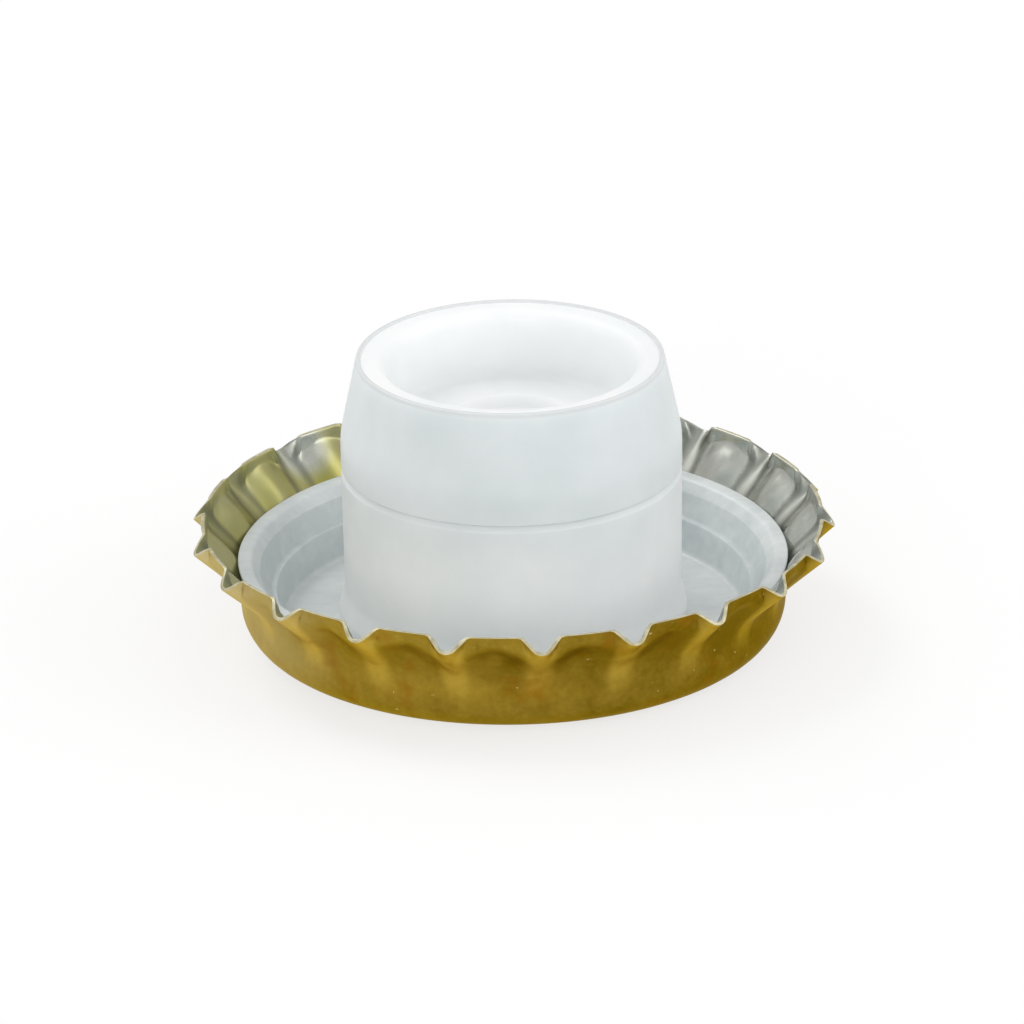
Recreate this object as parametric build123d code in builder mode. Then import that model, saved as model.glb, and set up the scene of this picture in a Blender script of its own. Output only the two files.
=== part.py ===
from build123d import *
from math import asin, atan2, cos, degrees, radians, sin, tan
import os

# Crown cap for a sparkling-wine bottle, open side up, with its sediment cup standing in it.
# Millimetres, +Z up. The origin is on the axis, at the outside face of the cap's panel.

# Crown shell: a pressed sheet with a round corner, a straight wall and a curled, fluted skirt,
# whose edge is turned up between the flutes
sheet = 0.24
body_radius = 14.75
corner_radius = 2.1
curl_start = 2.8
crown_height = 6.6
skirt_reach = 2.1
turn_up = 0.9
turn_up_lean = 16
fold_rounding = 0.6
flute_count = 21
flute_reach = 0.6
flute_drop = 0.8
flute_flare = 49
flute_angle = 84
flute_root = 2
flute_bury = 0.5
tip_rounding = 0.7

# Sealing liner: a moulded dish with a high sealing ring, whose slope carries two small ledges
liner_floor = 0.65
liner_clearance = 0.02
liner_height = 4.2
ring_width = 0.73
upper_ledge_width = 1.13
upper_ledge_drop = 0.6
lower_ledge_width = 1.78
lower_ledge_drop = 1.65
ledge_depth = 0.18
slope_width = 2.53

# Sediment cup: a moulded plug with a wide foot, a sealing lip, a tapered neck and a shallow cup
plug_height = 15.1
barrel_radius = 9.11
barrel_flare = 0.07
foot_reach = 0.29
foot_height = 0.8
foot_taper = 1.1
lip_reach = 0.14
lip_height = 9
lip_land = 0.45
lip_step = 0.4
neck_taper = 1.01
rim_width = 1.5
rim_rounding = 0.2
mouth_rounding = 0.7
cup_depth = 3.75
cup_draft = 0.4
dimple_radius = 3.7
dimple_depth = 0.5
web = 1.3
core_wall = 1.5
core_draft = 0.25

# How far shapes that are cut, or that cut, run past the faces left
overrun = 1

# Sizes of the skirt: the curl meets the turned-up edge in a fold
hollow_radius = body_radius + skirt_reach
tip_radius = hollow_radius + flute_reach
tip_height = crown_height - flute_drop
lean = radians(turn_up_lean)
fold_radius = hollow_radius - turn_up * tan(lean)
fold_height = crown_height - turn_up
fold_flare = 2 * atan2(fold_radius - body_radius, fold_height - curl_start)
fold_middle = (fold_flare + lean) / 2
fold_half = (fold_flare - lean) / 2
edge_slope = flute_drop / flute_reach
trim_top = crown_height + flute_root + overrun

# Sizes of a flute: its ridge runs straight from inside the wall to past its tip
flare = radians(flute_flare)
half_tip = radians(flute_angle / 2)
ridge_length = (tip_radius - body_radius) / sin(flare) + flute_bury
tip_peak = tip_rounding / sin(half_tip) - tip_rounding

# Heights and radii that the liner and the cup take from what carries them
liner_radius = body_radius - sheet - liner_clearance
liner_corner = corner_radius - sheet
liner_top = sheet + liner_floor
ring_top = sheet + liner_height
upper_ledge = ring_top - upper_ledge_drop
lower_ledge = ring_top - lower_ledge_drop
ring_fold = (sheet + liner_clearance) / cos(fold_half)
ring_run = fold_radius - ring_fold * cos(fold_middle) - liner_radius
ring_up = fold_height + ring_fold * sin(fold_middle) - curl_start
ring_curl_radius = (ring_run**2 + ring_up**2) / (2 * ring_run)
ring_curl_angle = degrees(asin((ring_top - curl_start) / ring_curl_radius))
ring_radius = liner_radius + ring_curl_radius * (1 - cos(radians(ring_curl_angle)))
plug_bottom = liner_top
plug_top = plug_bottom + plug_height
lip_bottom = plug_bottom + lip_height
foot_radius = barrel_radius + foot_reach
barrel_top_radius = barrel_radius + barrel_flare
lip_radius = barrel_top_radius + lip_reach
rim_radius = lip_radius - neck_taper
cup_radius = rim_radius - rim_width
cup_floor = plug_top - cup_depth
core_radius = barrel_radius - core_wall
core_top = cup_floor - web


def cap_profile(inset):
    """Half section of the filled cap along a hollow, moved in from the outside by inset."""
    radius = body_radius - inset
    corner = corner_radius - inset
    shift = inset / cos(fold_half)
    fold = (fold_radius - shift * cos(fold_middle), fold_height + shift * sin(fold_middle))
    edge = (fold[0] + turn_up * tan(lean), fold[1] + turn_up)
    with BuildSketch(Plane.XZ) as half:
        with BuildLine():
            Line((0, inset), (radius - corner, inset))
            RadiusArc((radius - corner, inset), (radius, corner_radius), -corner)
            Line((radius, corner_radius), (radius, curl_start))
            TangentArc((radius, curl_start), fold, tangent=(0, 1))
            Polyline(fold, edge, (edge[0], trim_top), (0, trim_top), (0, inset))
        make_face()
        fillet(half.vertices().sort_by_distance(fold)[0], fold_rounding - inset)
    return half.sketch


def flute(inset):
    """One round-topped flute on +X, moved in from the outside by inset."""
    tip = Plane(origin=(tip_radius, 0, tip_height), x_dir=(0, -1, 0), z_dir=(sin(flare), 0, cos(flare)))
    peak = tip_peak - inset / sin(half_tip)
    half_width = (peak + flute_root) * tan(half_tip)
    with BuildPart() as ridge:
        with BuildSketch(tip.offset(-ridge_length)):
            with BuildLine():
                Polyline((-half_width, -flute_root), (half_width, -flute_root), (0, peak), close=True)
            section = make_face()
            fillet(section.vertices().sort_by(Axis.Y)[-1], tip_rounding - inset)
        extrude(amount=ridge_length + overrun)
    return ridge.part


with BuildPart() as crown_shell:
    # The outside, filled
    revolve(cap_profile(0), axis=Axis.Z)
    with PolarLocations(0, flute_count):
        add(flute(0))
    # The edge, trimmed level between the flutes and on a cone over their tips
    with BuildSketch(Plane.XZ):
        with BuildLine():
            Polyline(
                (0, crown_height),
                (hollow_radius, crown_height),
                (tip_radius + overrun, tip_height - overrun * edge_slope),
                (tip_radius + overrun, trim_top),
                (0, trim_top),
                close=True,
            )
        make_face()
    revolve(axis=Axis.Z, mode=Mode.SUBTRACT)
    # The inside, one sheet thickness in
    revolve(cap_profile(sheet), axis=Axis.Z, mode=Mode.SUBTRACT)
    with PolarLocations(0, flute_count):
        add(flute(sheet), mode=Mode.SUBTRACT)

with BuildPart() as sealing_liner:
    with BuildSketch(Plane.XZ):
        with BuildLine():
            Polyline((0, liner_top), (0, sheet), (liner_radius - liner_corner, sheet))
            RadiusArc((liner_radius - liner_corner, sheet), (liner_radius, corner_radius), -liner_corner)
            Line((liner_radius, corner_radius), (liner_radius, curl_start))
            JernArc((liner_radius, curl_start), (0, 1), ring_curl_radius, -ring_curl_angle)
            Polyline(
                (ring_radius, ring_top),
                (ring_radius - ring_width, ring_top),
                (ring_radius - upper_ledge_width, upper_ledge),
                (ring_radius - upper_ledge_width - ledge_depth, upper_ledge),
                (ring_radius - lower_ledge_width, lower_ledge),
                (ring_radius - lower_ledge_width - ledge_depth, lower_ledge),
                (ring_radius - slope_width, liner_top),
                (0, liner_top),
            )
        make_face()
    revolve(axis=Axis.Z)

with BuildPart() as sediment_cup:
    # Foot, barrel, sealing lip, tapered neck and flat rim
    with BuildSketch(Plane.XZ):
        with BuildLine():
            Polyline(
                (0, plug_bottom),
                (foot_radius, plug_bottom),
                (foot_radius, plug_bottom + foot_height),
                (barrel_radius, plug_bottom + foot_height + foot_taper),
                (barrel_top_radius, lip_bottom - lip_step),
                (lip_radius, lip_bottom),
                (lip_radius, lip_bottom + lip_land),
                (rim_radius, plug_top),
                (0, plug_top),
                close=True,
            )
        make_face()
    revolve(axis=Axis.Z)
    # Shallow cup, with a dimple in the middle of its floor
    with BuildSketch(Plane.XZ):
        with BuildLine():
            Polyline(
                (0, plug_top),
                (cup_radius, plug_top),
                (cup_radius - cup_draft, cup_floor),
                (dimple_radius, cup_floor),
                (dimple_radius - dimple_depth, cup_floor - dimple_depth),
                (0, cup_floor - dimple_depth),
                close=True,
            )
        make_face()
    revolve(axis=Axis.Z, mode=Mode.SUBTRACT)
    rim_edges = sediment_cup.edges().group_by(Axis.Z)[-1].sort_by(SortBy.RADIUS)
    fillet(rim_edges[0], mouth_rounding)
    fillet(rim_edges[-1], rim_rounding)
    # Core from below, which leaves a wall round it and a web under the cup
    with BuildSketch(Plane.XZ):
        with BuildLine():
            Polyline(
                (0, plug_bottom),
                (core_radius, plug_bottom),
                (core_radius - core_draft, core_top),
                (0, core_top),
                close=True,
            )
        make_face()
    revolve(axis=Axis.Z, mode=Mode.SUBTRACT)

os.makedirs("parts", exist_ok=True)
crown_shell.part.label = "crown_shell"
export_step(crown_shell.part, "parts/crown_shell.step")
sealing_liner.part.label = "sealing_liner"
export_step(sealing_liner.part, "parts/sealing_liner.step")
sediment_cup.part.label = "sediment_cup"
export_step(sediment_cup.part, "parts/sediment_cup.step")
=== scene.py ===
from math import cos, degrees, pi, radians, sin, tan

import bmesh
import bpy
from mathutils import Matrix, Vector


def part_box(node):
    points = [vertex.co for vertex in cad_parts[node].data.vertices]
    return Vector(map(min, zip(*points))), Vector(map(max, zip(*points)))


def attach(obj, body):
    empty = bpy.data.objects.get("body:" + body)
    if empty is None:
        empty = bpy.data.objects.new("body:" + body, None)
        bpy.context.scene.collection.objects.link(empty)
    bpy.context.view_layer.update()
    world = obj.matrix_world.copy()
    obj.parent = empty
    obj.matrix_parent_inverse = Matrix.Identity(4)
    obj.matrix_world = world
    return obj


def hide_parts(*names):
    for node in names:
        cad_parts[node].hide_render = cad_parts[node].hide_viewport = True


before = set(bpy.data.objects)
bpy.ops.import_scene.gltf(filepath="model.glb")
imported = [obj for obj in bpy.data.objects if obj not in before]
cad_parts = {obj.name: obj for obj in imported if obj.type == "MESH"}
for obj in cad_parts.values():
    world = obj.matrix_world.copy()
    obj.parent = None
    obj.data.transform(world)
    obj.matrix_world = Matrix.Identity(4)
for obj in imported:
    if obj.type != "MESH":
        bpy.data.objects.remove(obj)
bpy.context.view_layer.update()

# A millimetre, in the scene's metres
mm = 0.001

# Crown shell: a pressed sheet with a round corner, a straight wall, a curl and a turned-up edge
shell_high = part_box("crown_shell")[1]
tip_radius = shell_high.x
crown_height = shell_high.z
sheet = 0.21 * mm
corner_radius = 2.1 * mm
curl_start = 2.65 * mm
skirt_reach = 2.1 * mm
turn_up = 0.9 * mm
turn_up_lean = radians(16)
fold_blend = 1.2 * mm
edge_bevel = 0.03 * mm
weld = 0.002 * mm

# Flutes: round-topped ridges that stand out of the skirt and widen below the edge
flute_count = 21
flute_reach = 0.6 * mm
flute_drop = 0.8 * mm
flute_flare = radians(49)
flute_half_angle = radians(42)
tip_rounding = 0.7 * mm
edge_blend = 0.15 * mm
ridge_blend = 1.1 * mm
widening = 1.4 * mm
wave_share = 0.8
body_radius = tip_radius - flute_reach - skirt_reach

# Scoops: the ovals between the flutes, with the fold arching over them
scoop_width = 1.7 * mm
scoop_arch = 0.5 * mm
arch_lean = radians(6)

# The shell's grid: columns for each flute, rows, and where the panel's and the corner's rows end
steps_per_flute = 28
shell_rows = 66
panel_end_share = 0.12
corner_end_share = 0.3
flute_fade_share = 0.2
turn_up_overrun_share = 1.4

# Sealing liner: a moulded dish with a high sealing ring, whose slope carries a ledge
liner_low, liner_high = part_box("sealing_liner")
liner_floor = 0.65 * mm
liner_clearance = 0.02 * mm
ring_width = 0.73 * mm
shoulder_width = 1.2 * mm
shoulder_drop = 0.58 * mm
ledge_width = 1.8 * mm
ledge_depth = 0.28 * mm
ledge_drop = 1.75 * mm
slope_width = 2.53 * mm
liner_top = liner_low.z + liner_floor
ring_top = liner_high.z
ring_radius = liner_high.x

# Sediment cup: a moulded plug with a wide foot, a sealing lip, a tapered neck and a shallow cup
cup_low, cup_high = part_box("sediment_cup")
foot_reach = 0.29 * mm
foot_height = 0.8 * mm
foot_taper = 1.1 * mm
barrel_flare = 0.07 * mm
bead_reach = 0.02 * mm
bead_drop = 0.45 * mm
groove_depth = 0.14 * mm
groove_drop = 0.1 * mm
lip_reach = 0.04 * mm
lip_height = 9 * mm
neck_upright = 1.75 * mm
neck_taper = 0.87 * mm
rim_width = 1.5 * mm
rim_bead_width = 0.2 * mm
rim_bead_slope = 0.04 * mm
rim_bead_height = 0.12 * mm
mouth_drop = 0.16 * mm
cup_depth = 3.75 * mm
cup_draft = 0.4 * mm
dimple_radius = 3.7 * mm
dimple_depth = 0.5 * mm
web = 1.3 * mm
core_wall = 1.5 * mm
core_draft = 0.25 * mm
plug_bottom = cup_low.z
plug_top = cup_high.z
foot_radius = cup_high.x
barrel_radius = foot_radius - foot_reach
shoulder_radius = barrel_radius + barrel_flare
rim_radius = shoulder_radius - neck_taper

# Turned pieces: steps once round the axis, the row's length and the turn of each step of a rounding
turn_steps = 192
liner_row = 0.35 * mm
cup_row = 0.3 * mm
rounding_step = 12

# The middle range of a noise, in which nearly all of it lies
noise_low = 0.3
noise_high = 0.7


class Graph:
    """Adds nodes to a tree. An input is given a value or another node's output."""

    def __init__(self, tree):
        self.tree = tree

    def add(self, kind, inputs=None, **settings):
        node = self.tree.nodes.new(kind)
        for name, value in settings.items():
            setattr(node, name, value)
        for key, value in (inputs or {}).items():
            self.put(node.inputs[key], value)
        return node

    def put(self, socket, value):
        if isinstance(value, bpy.types.NodeSocket):
            self.tree.links.new(value, socket)
        else:
            socket.default_value = value

    def math(self, operation, *values):
        return self.add("ShaderNodeMath", dict(enumerate(values)), operation=operation).outputs[0]

    def plus(self, first, *others):
        total = first
        for value in others:
            total = self.math("ADD", total, value)
        return total

    def minus(self, first, second):
        return self.math("SUBTRACT", first, second)

    def times(self, first, second):
        return self.math("MULTIPLY", first, second)

    def over(self, first, second):
        return self.math("DIVIDE", first, second)

    def ramp(self, value, low, high, start=0.0, end=1.0, smooth=False):
        kind = "SMOOTHSTEP" if smooth else "LINEAR"
        inputs = {"Value": value, "From Min": low, "From Max": high, "To Min": start, "To Max": end}
        return self.add("ShaderNodeMapRange", inputs, interpolation_type=kind).outputs[0]

    def split(self, vector):
        return self.add("ShaderNodeSeparateXYZ", {0: vector}).outputs

    def join(self, x, y, z):
        return self.add("ShaderNodeCombineXYZ", {"X": x, "Y": y, "Z": z}).outputs[0]


def srgb(red, green, blue):
    """A colour as a shader wants it, from the 0 to 255 values that a screen shows."""
    shares = [value / 255 for value in (red, green, blue)]
    return tuple(s / 12.92 if s <= 0.04045 else ((s + 0.055) / 1.055) ** 2.4 for s in shares) + (1.0,)


def new_material(name):
    """A material, its graph and its surface shader."""
    material = bpy.data.materials.new(name)
    material.use_nodes = True
    graph = Graph(material.node_tree)
    surface = material.node_tree.nodes["Principled BSDF"]
    return material, graph, surface


def shaded_place(graph):
    """The place on a piece of the point that is shaded."""
    return graph.add("ShaderNodeTexCoord").outputs["Object"]


def blend(graph, share, first, second):
    """A mix of two colours, each given as a value or a socket."""
    mix = graph.add("ShaderNodeMix", {"Factor": share}, data_type="RGBA")
    graph.put(mix.inputs["A"], first)
    graph.put(mix.inputs["B"], second)
    return mix.outputs["Result"]


def cloud(graph, place, scale, detail=2.0, rough=0.5):
    """A noise value with features of about a millimetre over scale."""
    inputs = {"Vector": place, "Scale": scale / mm, "Detail": detail, "Roughness": rough}
    return graph.add("ShaderNodeTexNoise", inputs).outputs[0]


def spread(graph, noise, start=0.0, end=1.0):
    """A noise value, its middle range stretched from start to end."""
    return graph.ramp(noise, noise_low, noise_high, start, end)


def stretched(graph, place, x, y, z):
    return graph.add("ShaderNodeVectorMath", {0: place, 1: (x, y, z)}, operation="MULTIPLY").outputs[0]


def marked(graph, name):
    """What the shell's own attribute says at a point."""
    return graph.add("ShaderNodeAttribute", attribute_name=name).outputs["Fac"]


def bumped(graph, surface, height, distance):
    bump = graph.add("ShaderNodeBump", {"Height": height, "Distance": distance, "Strength": 1.0})
    graph.put(surface.inputs["Normal"], bump.outputs[0])


def gold_lacquer():
    material, graph, surface = new_material("gold_lacquer")
    place = shaded_place(graph)
    dark_gold = srgb(116, 92, 12)
    light_gold = srgb(202, 171, 68)
    browned_gold = srgb(140, 93, 6)
    pale_speck = srgb(206, 190, 120)
    sheen_gold = srgb(208, 198, 156)
    across = graph.split(place)["X"]
    mottle = cloud(graph, place, scale=0.55, detail=3.0, rough=0.6)
    grain = cloud(graph, place, scale=3.5)
    fine = cloud(graph, place, scale=9.0)
    # Painted light mixed with the lacquer's own uneven tone: one side lighter, as where the light falls from
    # that side, a painted highlight on the drawn-out crests and a painted shade in the scoops; the mottle and
    # grain are the lacquer's own
    lacquer_and_light = graph.plus(
        graph.ramp(across, -body_radius, body_radius, 0.46, 0.03),
        graph.times(marked(graph, "crest"), 0.63),
        graph.times(marked(graph, "scoop"), -0.09),
        spread(graph, mottle, -0.12, 0.14),
        spread(graph, grain, -0.05, 0.05),
    )
    tone = blend(graph, graph.ramp(lacquer_and_light, 0.0, 1.0), dark_gold, light_gold)
    # Patches where the lacquer has browned
    patches = cloud(graph, place, scale=0.32, detail=3.0, rough=0.6)
    tone = blend(graph, graph.ramp(patches, 0.52, 0.68, 0.0, 0.55, smooth=True), tone, browned_gold)
    # Specks knocked through to the pale sheet
    specks = cloud(graph, place, scale=2.6, detail=1.0)
    tone = blend(graph, graph.ramp(specks, 0.765, 0.79, 0.0, 0.6), tone, pale_speck)
    # A painted sheen: the lacquer turns paler towards one side, as where it catches a grazing reflection
    side_sheen = graph.ramp(across, -tip_radius, -0.5 * tip_radius, 0.7, 0.0, smooth=True)
    tone = blend(graph, side_sheen, tone, sheen_gold)
    graph.put(surface.inputs["Base Color"], tone)
    graph.put(surface.inputs["Metallic"], 0.95)
    graph.put(surface.inputs["Specular Tint"], srgb(240, 222, 160))
    graph.put(surface.inputs["Roughness"], spread(graph, mottle, 0.36, 0.5))
    peel = 0.008 * mm
    bumped(graph, surface, graph.plus(fine, graph.times(mottle, 2.0)), peel)
    return material


def olive_reflection_share(graph, place, smear):
    """The share of a painted olive reflection on the tin: strong on one side, gone on the other."""
    reflection_full = -7.0 * mm
    reflection_gone = 3.0 * mm
    patch_core = 0.8 * mm
    patch_edge = 2.2 * mm
    across = graph.split(place)["X"]
    olive_reflection = graph.ramp(across, reflection_full, reflection_gone, 0.95, 0.06, smooth=True)
    olive_reflection = graph.times(olive_reflection, spread(graph, smear, 0.75, 1.1))
    # A spot high on one panel that the painted olive reflection leaves bare; its lighter tin is a painted
    # highlight that goes with the lamp's own
    patch = tuple(tip_radius * share for share in (-0.655, 0.7, 0.33))
    gap = graph.add("ShaderNodeVectorMath", {0: place, 1: patch}, operation="DISTANCE").outputs["Value"]
    return graph.times(olive_reflection, graph.ramp(gap, patch_core, patch_edge, 0.1, 1.0, smooth=True))


def bare_tin():
    material, graph, surface = new_material("bare_tin")
    place = shaded_place(graph)
    dark_tin = srgb(188, 191, 184)
    light_tin = srgb(204, 206, 200)
    painted_olive_reflection = srgb(172, 166, 90)
    groove_shade = srgb(84, 86, 78)
    groove_bottom_shade = srgb(112, 114, 106)
    streak = cloud(graph, stretched(graph, place, 1.0, 1.0, 0.25), scale=1.2, detail=3.0, rough=0.6)
    smear = cloud(graph, place, scale=0.25)
    olive_reflection = olive_reflection_share(graph, place, smear)
    tone = blend(graph, spread(graph, streak), dark_tin, light_tin)
    # Painted reflection: one side tinted olive and darker, for a warm dim surrounding that it mirrors
    tone = blend(graph, olive_reflection, tone, painted_olive_reflection)
    # Painted shade along both sides of each groove, and a darker groove bottom that dims its highlight
    groove = marked(graph, "crest")
    side = graph.times(groove, graph.minus(1.0, groove))
    tone = blend(graph, graph.times(side, 2.2), tone, groove_shade)
    tone = blend(graph, graph.times(groove, 0.3), tone, groove_bottom_shade)
    graph.put(surface.inputs["Base Color"], tone)
    graph.put(surface.inputs["Metallic"], 1.0)
    dull = graph.plus(spread(graph, streak, 0.2, 0.26), graph.times(olive_reflection, 0.14), graph.times(groove, 0.14))
    graph.put(surface.inputs["Roughness"], dull)
    dent_depth = 0.04 * mm
    ripple = cloud(graph, place, scale=0.9, detail=1.0)
    bumped(graph, surface, graph.plus(smear, graph.times(ripple, 0.1)), dent_depth)
    return material


def cut_edge():
    material, graph, surface = new_material("cut_edge")
    nicks = cloud(graph, shaded_place(graph), scale=2.5)
    tone = blend(graph, graph.ramp(nicks, 0.35, 0.65), srgb(176, 169, 134), srgb(206, 200, 170))
    graph.put(surface.inputs["Base Color"], tone)
    graph.put(surface.inputs["Metallic"], 0.35)
    graph.put(surface.inputs["Roughness"], 0.42)
    nick_depth = 0.02 * mm
    bumped(graph, surface, nicks, nick_depth)
    return material


def soften(graph, surface, weight, depth):
    """Lets light into a plastic by a depth."""
    graph.put(surface.inputs["Subsurface Weight"], weight)
    graph.put(surface.inputs["Subsurface Radius"], (1.0, 1.0, 1.0))
    graph.put(surface.inputs["Subsurface Scale"], depth)


def liner_plastic():
    material, graph, surface = new_material("liner_plastic")
    place = shaded_place(graph)
    dim_plastic = srgb(198, 205, 206)
    milky_plastic = srgb(232, 236, 234)
    milky_start = ring_top - 0.65 * mm
    milky_full = ring_top - 0.55 * mm
    floor_full = liner_top + 0.05 * mm
    floor_gone = liner_top + 0.35 * mm
    cloudy = cloud(graph, place, scale=0.3, detail=3.0, rough=0.6)
    grain = cloud(graph, place, scale=4.0)
    drawn = cloud(graph, stretched(graph, place, 0.35, 1.0, 1.0), scale=1.6, detail=3.0, rough=0.65)
    murk = graph.plus(graph.times(cloudy, 0.6), graph.times(drawn, 0.4))
    spot = graph.split(place)
    # Thick plastic is milkier at the ring; the floor is lighter, a painted light in the recess, and one side
    # darker, a painted shade
    light = graph.plus(
        graph.ramp(murk, 0.35, 0.65, 0.05, 0.65),
        graph.ramp(spot["Z"], milky_start, milky_full, 0.0, 0.34, smooth=True),
        graph.ramp(spot["X"], -body_radius, body_radius, -0.36, -0.08),
        graph.ramp(spot["Z"], floor_full, floor_gone, 0.42, 0.0, smooth=True),
    )
    tone = blend(graph, graph.ramp(light, 0.0, 1.0), dim_plastic, milky_plastic)
    graph.put(surface.inputs["Base Color"], tone)
    graph.put(surface.inputs["Roughness"], spread(graph, cloudy, 0.3, 0.45))
    soften(graph, surface, weight=0.3, depth=0.5 * mm)
    moulding = 0.02 * mm
    bumped(graph, surface, graph.plus(drawn, graph.times(grain, 0.4)), moulding)
    return material


def cup_plastic():
    material, graph, surface = new_material("cup_plastic")
    place = shaded_place(graph)
    rim_edge_shade = srgb(206, 209, 210)
    neck_shade_start = plug_bottom + 4.11 * mm
    neck_shade_full = plug_bottom + 10.61 * mm
    outside_start = rim_radius - 0.26 * mm
    outside_full = rim_radius - 0.01 * mm
    line_start = rim_radius - 0.31 * mm
    line_full = rim_radius - 0.19 * mm
    line_bottom = plug_top - 0.3 * mm
    line_top = plug_top - 0.15 * mm
    cloudy = cloud(graph, place, scale=0.22, detail=3.0, rough=0.55)
    wax = cloud(graph, stretched(graph, place, 1.0, 1.0, 0.4), scale=1.1, detail=3.0, rough=0.6)
    grain = cloud(graph, place, scale=5.0)
    height = graph.split(place)["Z"]
    flat = stretched(graph, place, 1.0, 1.0, 0.0)
    radius = graph.add("ShaderNodeVectorMath", {0: flat}, operation="LENGTH").outputs["Value"]
    # Outside, the plug turns cooler and darker upwards, a painted shade that evens out the extra light on its
    # upward-leaning neck; its foot and the inside of the cup are milky
    neck = graph.ramp(height, neck_shade_start, neck_shade_full, smooth=True)
    outside = graph.ramp(radius, outside_start, outside_full, smooth=True)
    milky = blend(graph, spread(graph, cloudy), srgb(238, 241, 242), srgb(246, 247, 247))
    neck_shade_tone = blend(graph, spread(graph, cloudy), srgb(215, 221, 222), srgb(223, 228, 229))
    tone = blend(graph, graph.times(neck, outside), milky, neck_shade_tone)
    # A painted shade: a greyer line round the rim's outer edge
    rim_shade = graph.ramp(radius, line_start, line_full, smooth=True)
    tone = blend(graph, graph.times(rim_shade, graph.ramp(height, line_bottom, line_top)), tone, rim_edge_shade)
    graph.put(surface.inputs["Base Color"], tone)
    graph.put(surface.inputs["Roughness"], spread(graph, wax, 0.38, 0.52))
    graph.put(surface.inputs["Specular IOR Level"], 0.4)
    soften(graph, surface, weight=0.8, depth=1.0 * mm)
    wax_depth = 0.02 * mm
    bumped(graph, surface, graph.plus(wax, graph.times(grain, 0.3)), wax_depth)
    return material


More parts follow.
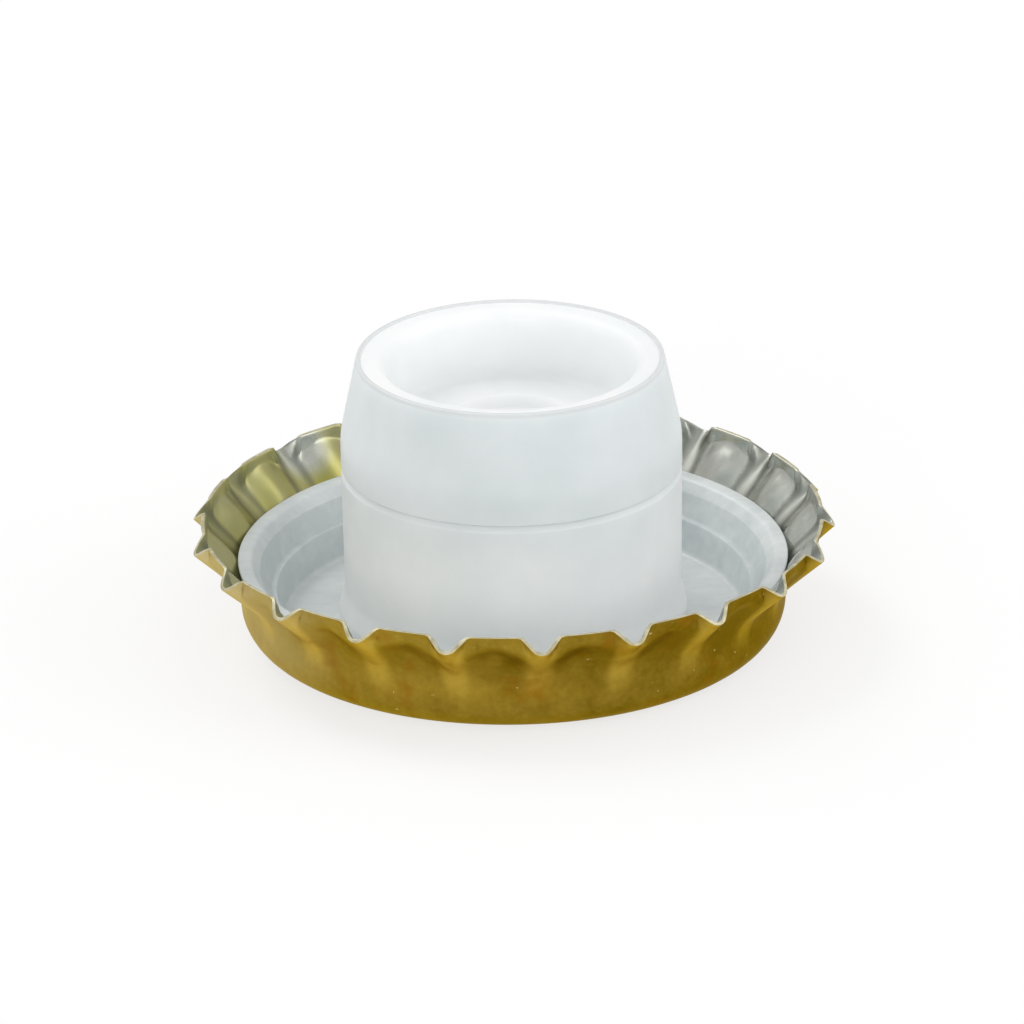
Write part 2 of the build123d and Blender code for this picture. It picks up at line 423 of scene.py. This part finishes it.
class ShellPress:
    """The tree that presses a flat grid into the fluted shell, and its inputs' values."""

    def __init__(self):
        self.tree = bpy.data.node_groups.new("pressed_shell", "GeometryNodeTree")
        self.tree.interface.new_socket("Geometry", in_out="OUTPUT", socket_type="NodeSocketGeometry")
        self.graph = Graph(self.tree)
        self.name_inputs()
        self.lay_grid()
        self.find_flutes()
        self.trim_edge()
        self.arch_fold()
        self.curl_hollows()
        self.raise_flutes()
        self.mark_painted_light()
        self.press_grid()
        self.thicken()

    def name_inputs(self):
        sizes = {
            "Body radius": body_radius,
            "Corner radius": corner_radius,
            "Curl start": curl_start,
            "Crown height": crown_height,
            "Skirt reach": skirt_reach,
            "Turn up": turn_up,
            "Turn up lean": turn_up_lean,
            "Fold blend": fold_blend,
            "Scoop width": scoop_width,
            "Scoop arch": scoop_arch,
            "Arch lean": arch_lean,
            "Flute reach": flute_reach,
            "Flute drop": flute_drop,
            "Flute flare": flute_flare,
            "Flute half angle": flute_half_angle,
            "Tip rounding": tip_rounding,
            "Ridge blend": ridge_blend,
            "Edge blend": edge_blend,
            "Widening": widening,
            "Wave share": wave_share,
            "Sheet": sheet,
        }
        counts = {"Flutes": flute_count, "Steps per flute": steps_per_flute, "Rows": shell_rows}
        for name in sizes:
            self.tree.interface.new_socket(name, in_out="INPUT", socket_type="NodeSocketFloat")
        for name in counts:
            self.tree.interface.new_socket(name, in_out="INPUT", socket_type="NodeSocketInt")
        for name in ("Outside", "Inside", "Edge"):
            self.tree.interface.new_socket(name, in_out="INPUT", socket_type="NodeSocketMaterial")
        self.values = {**sizes, **counts}
        self.given = self.graph.add("NodeGroupInput").outputs

    def position(self):
        return self.graph.split(self.graph.add("GeometryNodeInputPosition").outputs[0])

    def lay_grid(self):
        """A flat grid: across it once round the axis, along it from the panel's middle to the edge."""
        g, given = self.graph, self.given
        columns = g.plus(g.times(given["Flutes"], given["Steps per flute"]), 1)
        size = {"Size X": 1.0, "Size Y": 1.0, "Vertices X": columns, "Vertices Y": given["Rows"]}
        self.mesh = g.add("GeometryNodeMeshGrid", size).outputs["Mesh"]
        place = self.position()
        self.turn = g.times(g.plus(place["X"], 0.5), 2 * pi)
        along = g.plus(place["Y"], 0.5)
        self.panel_share = g.ramp(along, 0.0, panel_end_share)
        self.corner_share = g.ramp(along, panel_end_share, corner_end_share)
        self.skirt_share = g.ramp(along, corner_end_share, 1.0)

    def find_flutes(self):
        """The angle from the nearest flute, and where the flutes' ridges run."""
        g, given = self.graph, self.given
        self.half_pitch = g.over(pi, given["Flutes"])
        from_flute = g.math("WRAP", self.turn, self.half_pitch, g.times(self.half_pitch, -1))
        self.from_flute = g.math("ABSOLUTE", from_flute)
        self.hollow_radius = g.plus(given["Body radius"], given["Skirt reach"])
        self.ridge_radius = g.plus(self.hollow_radius, given["Flute reach"])
        self.ridge_top = g.minus(given["Crown height"], given["Flute drop"])
        self.flare_slope = g.math("TANGENT", given["Flute flare"])

    def below_ridge(self, radius):
        """How far a flute's surface lies inside its ridge line, at a radius."""
        g, given = self.graph, self.given
        rounding = given["Tip rounding"]
        half_angle = given["Flute half angle"]
        across = g.times(radius, g.math("SINE", self.from_flute))
        peak = g.minus(g.over(rounding, g.math("SINE", half_angle)), rounding)
        flank = g.minus(g.over(across, g.math("TANGENT", half_angle)), peak)
        near = g.math("MINIMUM", across, g.times(rounding, g.math("COSINE", half_angle)))
        rise = g.minus(g.times(rounding, rounding), g.times(near, near))
        crest = g.minus(rounding, g.math("SQRT", rise))
        return g.over(g.math("MAXIMUM", flank, crest), g.math("COSINE", given["Flute flare"]))

    def trim_edge(self):
        """The edge's height: level between the flutes, and lower where the sheet is drawn out into one."""
        g, given = self.graph, self.given
        slope = g.over(given["Flute drop"], given["Flute reach"])
        climb = g.over(slope, g.plus(g.times(slope, self.flare_slope), 1))
        notch = g.plus(self.ridge_top, g.times(self.below_ridge(self.ridge_radius), climb))
        self.edge_height = g.math("SMOOTH_MIN", given["Crown height"], notch, given["Edge blend"])

    def arch_fold(self):
        """The fold under the turned-up edge: lower beside the flutes, so that it arches over each scoop."""
        g, given = self.graph, self.given
        from_scoop = g.times(self.hollow_radius, g.math("SINE", g.minus(self.half_pitch, self.from_flute)))
        self.scoop_share = g.ramp(from_scoop, 0, given["Scoop width"])
        arch = g.times(self.scoop_share, self.scoop_share)
        self.fold_drop = g.plus(given["Turn up"], g.times(arch, given["Scoop arch"]))
        self.fold_height = g.minus(given["Crown height"], self.fold_drop)
        lean = g.plus(given["Turn up lean"], g.times(arch, given["Arch lean"]))
        self.lean_slope = g.math("TANGENT", lean)

    def curl_hollows(self):
        """Height, and radius along a hollow: panel, round corner, straight wall, curl and turned-up edge."""
        g, given = self.graph, self.given
        corner = given["Corner radius"]
        quarter = g.times(self.corner_share, pi / 2)
        corner_rise = g.times(corner, g.minus(1, g.math("COSINE", quarter)))
        corner_run = g.times(corner, g.math("SINE", quarter))
        skirt_rise = g.times(self.skirt_share, g.minus(self.edge_height, corner))
        self.height = g.plus(corner_rise, skirt_rise)
        panel_run = g.times(g.minus(given["Body radius"], corner), self.panel_share)
        # The curl is an arc from the wall to the fold
        fold_run = g.minus(given["Skirt reach"], g.times(self.fold_drop, self.lean_slope))
        fold_rise = g.minus(self.fold_height, given["Curl start"])
        squares = g.plus(g.times(fold_run, fold_run), g.times(fold_rise, fold_rise))
        curl_radius = g.over(squares, g.times(fold_run, 2))
        above = g.math("MAXIMUM", g.minus(self.height, given["Curl start"]), 0)
        chord = g.minus(g.times(curl_radius, curl_radius), g.times(above, above))
        curl_run = g.minus(curl_radius, g.math("SQRT", g.math("MAXIMUM", chord, 0)))
        curl = g.plus(panel_run, corner_run, curl_run)
        # The turned-up edge leans out from the fold
        below_top = g.minus(given["Crown height"], self.height)
        edge_run = g.math("MINIMUM", below_top, g.times(self.fold_drop, turn_up_overrun_share))
        turned_up = g.minus(self.hollow_radius, g.times(edge_run, self.lean_slope))
        self.hollow = g.math("SMOOTH_MIN", curl, turned_up, given["Fold blend"])

    def raise_flutes(self):
        """The pressed sheet's radius, with flutes that stand out of the skirt along straight ridges."""
        g, given = self.graph, self.given
        ridge_rise = g.times(g.minus(self.height, self.ridge_top), self.flare_slope)
        ridge_line = g.plus(self.ridge_radius, ridge_rise)
        fluted = g.minus(ridge_line, self.below_ridge(ridge_line))
        sharp = g.math("SMOOTH_MAX", self.hollow, fluted, given["Edge blend"])
        # Below the edge the flutes widen into a round wave, which leaves an oval scoop between them
        crest_line = g.math("SMOOTH_MAX", self.hollow, ridge_line, given["Ridge blend"])
        wave = g.ramp(g.math("COSINE", g.times(given["Flutes"], self.turn)), -1, 1)
        waved = g.plus(self.hollow, g.times(g.minus(crest_line, self.hollow), wave))
        below_edge = g.minus(self.edge_height, self.height)
        widened = g.ramp(below_edge, 0, given["Widening"], 0, given["Wave share"], smooth=True)
        pressed = g.plus(sharp, g.times(g.minus(waved, sharp), widened))
        fade = g.ramp(self.skirt_share, 0, flute_fade_share, smooth=True)
        self.radius = g.plus(self.hollow, g.times(g.minus(pressed, self.hollow), fade))

    def mark_painted_light(self):
        """Marks where painted light and shade go: the flutes' crests, and the scoops under the fold."""
        g = self.graph
        crest_core = 0.35 * mm
        crest_side = 1.15 * mm
        crest_foot = 1.7 * mm
        crest_full = 4.3 * mm
        scoop_rise = -0.1 * mm
        scoop_full = 0.35 * mm
        scoop_fall = 2.1 * mm
        scoop_gone = 3.6 * mm
        scoop_core_share = 0.35
        scoop_side_share = 0.85
        from_crest = g.times(self.ridge_radius, g.math("SINE", self.from_flute))
        crest = g.ramp(from_crest, crest_core, crest_side, 1.0, 0.0, smooth=True)
        crest = g.times(crest, g.ramp(self.height, crest_foot, crest_full, smooth=True))
        under_fold = g.minus(self.fold_height, self.height)
        scoop = g.ramp(under_fold, scoop_rise, scoop_full, smooth=True)
        scoop = g.times(scoop, g.ramp(under_fold, scoop_fall, scoop_gone, 1.0, 0.0, smooth=True))
        inner = g.ramp(self.scoop_share, scoop_core_share, scoop_side_share, 1.0, 0.0, smooth=True)
        for name, value in (("crest", crest), ("scoop", g.times(scoop, inner))):
            inputs = {"Geometry": self.mesh, "Name": name, "Value": value}
            mark = g.add("GeometryNodeStoreNamedAttribute", inputs, data_type="FLOAT", domain="POINT")
            self.mesh = mark.outputs[0]

    def welded(self, mesh):
        return self.graph.add("GeometryNodeMergeByDistance", {"Geometry": mesh, "Distance": weld}).outputs[0]

    def press_grid(self):
        """Moves the grid's points onto the pressed sheet, and closes its seam and its middle."""
        g = self.graph
        x = g.times(self.radius, g.math("COSINE", self.turn))
        y = g.times(self.radius, g.math("SINE", self.turn))
        spot = g.join(x, y, self.height)
        pressed = g.add("GeometryNodeSetPosition", {"Geometry": self.mesh, "Position": spot})
        self.outside = self.welded(pressed.outputs[0])

    def thicken(self):
        """Gives the sheet its thickness, and each of its sides its finish."""
        g, given = self.graph, self.given
        inward = {"Mesh": self.outside, "Offset Scale": g.times(given["Sheet"], -1), "Individual": False}
        pushed = g.add("GeometryNodeExtrudeMesh", inward)
        place = self.position()
        level = g.join(place["X"], place["Y"], g.math("MINIMUM", place["Z"], given["Crown height"]))
        levelled = g.add("GeometryNodeSetPosition", {"Geometry": pushed.outputs["Mesh"], "Position": level})
        turned = g.add("GeometryNodeFlipFaces", {"Mesh": levelled.outputs[0]})
        joined = g.add("GeometryNodeJoinGeometry")
        for mesh in (turned.outputs[0], self.outside):
            self.tree.links.new(mesh, joined.inputs[0])
        smooth = g.add("GeometryNodeSetShadeSmooth", {"Geometry": self.welded(joined.outputs[0])})
        finished = g.add("GeometryNodeRealizeInstances", {"Geometry": smooth.outputs[0]}).outputs[0]
        sides = {"Outside": True, "Inside": pushed.outputs["Top"], "Edge": pushed.outputs["Side"]}
        for name, faces in sides.items():
            inputs = {"Geometry": finished, "Selection": faces, "Material": given[name]}
            finished = g.add("GeometryNodeSetMaterial", inputs).outputs[0]
        g.add("NodeGroupOutput", {"Geometry": finished})


def pressed_shell(outside, inside, edge):
    press = ShellPress()
    values = {**press.values, "Outside": outside, "Inside": inside, "Edge": edge}
    blank = bpy.data.objects.new("shell_blank", bpy.data.meshes.new("shell_blank"))
    bpy.context.scene.collection.objects.link(blank)
    modifier = blank.modifiers.new("press", "NODES")
    modifier.node_group = press.tree
    for socket in press.tree.interface.items_tree:
        if socket.in_out == "INPUT":
            modifier[socket.identifier] = values[socket.name]
    bevel = blank.modifiers.new("edge", "BEVEL")
    bevel.width = edge_bevel
    bevel.segments = 2
    bevel.limit_method = "ANGLE"
    bevel.angle_limit = radians(50)
    bpy.context.view_layer.update()
    shape = blank.evaluated_get(bpy.context.evaluated_depsgraph_get())
    mesh = bpy.data.meshes.new_from_object(shape)
    mesh.name = "pressed_shell"
    bpy.data.objects.remove(blank)
    shell = bpy.data.objects.new("pressed_shell", mesh)
    bpy.context.scene.collection.objects.link(shell)
    return shell


def rounded_corner(before, here, after, rounding):
    """The points of an arc that rounds a corner."""
    back = (before - here).normalized()
    ahead = (after - here).normalized()
    half = back.angle(ahead) / 2
    reach = rounding / tan(half)
    middle = here + (back + ahead).normalized() * (rounding / sin(half))
    first = here + back * reach - middle
    last = here + ahead * reach - middle
    swing = first.angle_signed(last)
    steps = max(3, round(degrees(abs(swing)) / rounding_step))
    return [middle + Matrix.Rotation(-swing * step / steps, 2) @ first for step in range(steps + 1)]


def rounded_outline(corners, row):
    """The points of an outline of (radius, height, rounding) corners, its straight runs cut into rows."""
    places = [Vector(corner[:2]) for corner in corners]
    points = []
    for number, (here, corner) in enumerate(zip(places, corners)):
        rounding = corner[2]
        if rounding == 0:
            points.append(here)
        else:
            points += rounded_corner(places[number - 1], here, places[number + 1], rounding)
    outline = [points[0]]
    for point in points[1:]:
        start = outline[-1]
        run = point - start
        pieces = max(1, round(run.length / row))
        for piece in range(1, pieces + 1):
            outline.append(start + run * piece / pieces)
    return outline


def turned_piece(name, corners, row, material):
    """A closed solid turned about the axis from an outline that starts and ends on it."""
    on_axis = 1e-9
    shape = bmesh.new()
    rings = []
    for point in rounded_outline(corners, row):
        if point.x < on_axis:
            rings.append([shape.verts.new((0, 0, point.y))] * turn_steps)
            continue
        ring = []
        for step in range(turn_steps):
            turn = 2 * pi * step / turn_steps
            ring.append(shape.verts.new((point.x * cos(turn), point.x * sin(turn), point.y)))
        rings.append(ring)
    for lower, upper in zip(rings, rings[1:]):
        for step in range(turn_steps):
            after = (step + 1) % turn_steps
            loop = [lower[step], lower[after], upper[after], upper[step]]
            face = [v for place, v in enumerate(loop) if v not in loop[:place]]
            shape.faces.new(face).smooth = True
    bmesh.ops.recalc_face_normals(shape, faces=shape.faces)
    mesh = bpy.data.meshes.new(name)
    shape.to_mesh(mesh)
    shape.free()
    mesh.materials.append(material)
    piece = bpy.data.objects.new(name, mesh)
    bpy.context.scene.collection.objects.link(piece)
    return piece


def moulded_liner(material):
    slope_rounding = 0.25 * mm
    ledge_inner_rounding = 0.06 * mm
    ledge_outer_rounding = 0.1 * mm
    ring_inner_rounding = 0.45 * mm
    ring_outer_rounding = 0.08 * mm
    wall_rounding = 0.2 * mm
    wall = body_radius - sheet - liner_clearance
    ledge = ring_top - ledge_drop
    corners = [
        (0, liner_top, 0),
        (ring_radius - slope_width, liner_top, slope_rounding),
        (ring_radius - ledge_width - ledge_depth, ledge, ledge_inner_rounding),
        (ring_radius - ledge_width, ledge, ledge_outer_rounding),
        (ring_radius - shoulder_width, ring_top - shoulder_drop, slope_rounding),
        (ring_radius - ring_width, ring_top, ring_inner_rounding),
        (ring_radius, ring_top, ring_outer_rounding),
        (wall, curl_start, wall_rounding),
        (wall, liner_low.z, corner_radius - sheet),
        (0, liner_low.z, 0),
    ]
    return turned_piece("moulded_liner", corners, liner_row, material)


def cup_inside():
    """The outline of the shallow cup, from the middle of its dimple to its mouth."""
    dimple_rounding = 0.2 * mm
    wall_rounding = 0.7 * mm
    floor = plug_top - cup_depth
    mouth = rim_radius - rim_width
    return [
        (0, floor - dimple_depth, 0),
        (dimple_radius - dimple_depth, floor - dimple_depth, dimple_rounding),
        (dimple_radius, floor, dimple_rounding),
        (mouth - cup_draft, floor, wall_rounding),
        (mouth, plug_top - mouth_drop, wall_rounding),
    ]


def cup_outside():
    """The outline of the rim's bead, the neck, the sealing lip with its groove, the barrel and the foot."""
    root_rounding = 0.04 * mm
    edge_rounding = 0.05 * mm
    rim_rounding = 0.08 * mm
    neck_rounding = 5.0 * mm
    bead_rounding = 0.12 * mm
    barrel_rounding = 1.5 * mm
    foot_rounding = 0.3 * mm
    bottom_rounding = 0.12 * mm
    lip = shoulder_radius + lip_reach
    lip_bottom = plug_bottom + lip_height
    foot_top = plug_bottom + foot_height
    rim_bead = rim_radius - rim_bead_width
    return [
        (rim_bead - rim_bead_slope, plug_top - rim_bead_height, root_rounding),
        (rim_bead, plug_top, edge_rounding),
        (rim_radius, plug_top, rim_rounding),
        (lip, lip_bottom + neck_upright, neck_rounding),
        (lip, lip_bottom, edge_rounding),
        (shoulder_radius - groove_depth, lip_bottom - groove_drop, root_rounding),
        (shoulder_radius + bead_reach, lip_bottom - bead_drop, bead_rounding),
        (barrel_radius, foot_top + foot_taper, barrel_rounding),
        (foot_radius, foot_top, foot_rounding),
        (foot_radius, plug_bottom, bottom_rounding),
    ]


def cup_core():
    """The outline of the core under the cup's web."""
    foot_edge = 0.12 * mm
    core_rounding = 0.6 * mm
    core = barrel_radius - core_wall
    core_top = plug_top - cup_depth - web
    return [
        (core, plug_bottom, foot_edge),
        (core - core_draft, core_top, core_rounding),
        (0, core_top, 0),
    ]


def moulded_cup(material):
    corners = cup_inside() + cup_outside() + cup_core()
    return turned_piece("moulded_cup", corners, cup_row, material)


def studio_floor():
    reach = 12.0
    pale = (0.97, 0.97, 0.97, 1.0)
    white = (1.0, 1.0, 1.0, 1.0)
    white_share = 0.72
    mesh = bpy.data.meshes.new("studio_floor")
    spots = [(-reach, -reach, 0), (reach, -reach, 0), (reach, reach, 0), (-reach, reach, 0)]
    mesh.from_pydata(spots, [], [(0, 1, 2, 3)])
    floor = bpy.data.objects.new("studio_floor", mesh)
    bpy.context.scene.collection.objects.link(floor)
    material, graph, surface = new_material("white_floor")
    graph.put(surface.inputs["Base Color"], pale)
    graph.put(surface.inputs["Roughness"], 0.9)
    graph.put(surface.inputs["Specular IOR Level"], 0.0)
    # Seen directly or in a reflection, the floor is mostly plain white
    path = graph.add("ShaderNodeLightPath").outputs
    seen = graph.math("MAXIMUM", path["Is Camera Ray"], path["Is Glossy Ray"])
    seen = graph.math("MAXIMUM", seen, path["Is Transmission Ray"])
    glow = graph.add("ShaderNodeEmission", {"Color": white, "Strength": 1.0})
    mixed = graph.add("ShaderNodeMixShader", {0: graph.times(seen, white_share)})
    graph.put(mixed.inputs[1], surface.outputs[0])
    graph.put(mixed.inputs[2], glow.outputs[0])
    graph.put(material.node_tree.nodes["Material Output"].inputs["Surface"], mixed.outputs[0])
    mesh.materials.append(material)


def aimed(obj, place, target, roll=0.0):
    """Stands a lamp or camera at a place, looking at a target."""
    look = (target - place).to_track_quat("-Z", "Y").to_matrix().to_4x4()
    obj.matrix_world = Matrix.Translation(place) @ look @ Matrix.Rotation(roll, 4, "Z")
    bpy.context.scene.collection.objects.link(obj)


def softbox(name, direction, distance, width, height, power, roll=0.0):
    lamp = bpy.data.lights.new(name, "AREA")
    lamp.shape = "RECTANGLE"
    lamp.size = width
    lamp.size_y = height
    lamp.energy = power
    box = bpy.data.objects.new(name, lamp)
    middle = Vector((0, 0, crown_height))
    aimed(box, middle + Vector(direction).normalized() * distance, middle, roll)


def studio_light():
    world = bpy.data.worlds.new("studio")
    bpy.context.scene.world = world
    world.use_nodes = True
    sky = world.node_tree.nodes["Background"]
    sky.inputs["Color"].default_value = (1.0, 1.0, 1.0, 1.0)
    sky.inputs["Strength"].default_value = 0.635
    near = 0.5
    far = 0.6
    softbox("overhead_softbox", (0.5, 0.1, 0.86), near, width=0.36, height=0.36, power=0.16)
    # The left softbox lies along the panels that mirror it
    along_panels = radians(56)
    softbox("left_softbox", (-0.48, 0.41, 0.78), near, width=0.36, height=0.15, power=0.68, roll=along_panels)
    softbox("right_softbox", (0.85, -0.1, 0.45), far, width=0.5, height=0.4, power=0.9)
    softbox("front_softbox", (-0.2, -0.95, 0.3), far, width=0.5, height=0.3, power=0.95)


def photo_camera():
    lens = 585.4
    sensor = 36
    distance = 0.9
    elevation = radians(22.49)
    azimuth = radians(-0.66)
    roll = radians(-0.82)
    aim_height = 6.905 * mm
    aim_left = 0.015 * mm
    side = Vector((cos(azimuth), sin(azimuth), 0))
    target = Vector((0, 0, aim_height)) - side * aim_left
    away = Vector((sin(azimuth) * cos(elevation), -cos(azimuth) * cos(elevation), sin(elevation)))
    data = bpy.data.cameras.new("photo_camera")
    data.lens = lens
    data.sensor_width = sensor
    camera = bpy.data.objects.new("photo_camera", data)
    aimed(camera, target + away * distance, target, roll)
    bpy.context.scene.camera = camera


shell = pressed_shell(gold_lacquer(), bare_tin(), cut_edge())
liner = moulded_liner(liner_plastic())
cup = moulded_cup(cup_plastic())
for piece, node, slot in (
    (shell, "crown_shell", "lacquered_tinplate"),
    (liner, "sealing_liner", "liner_plastic"),
    (cup, "sediment_cup", "cup_plastic"),
):
    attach(piece, "root")
    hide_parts(node)

studio_floor()
studio_light()
photo_camera()
bpy.context.scene.view_settings.view_transform = "Standard"
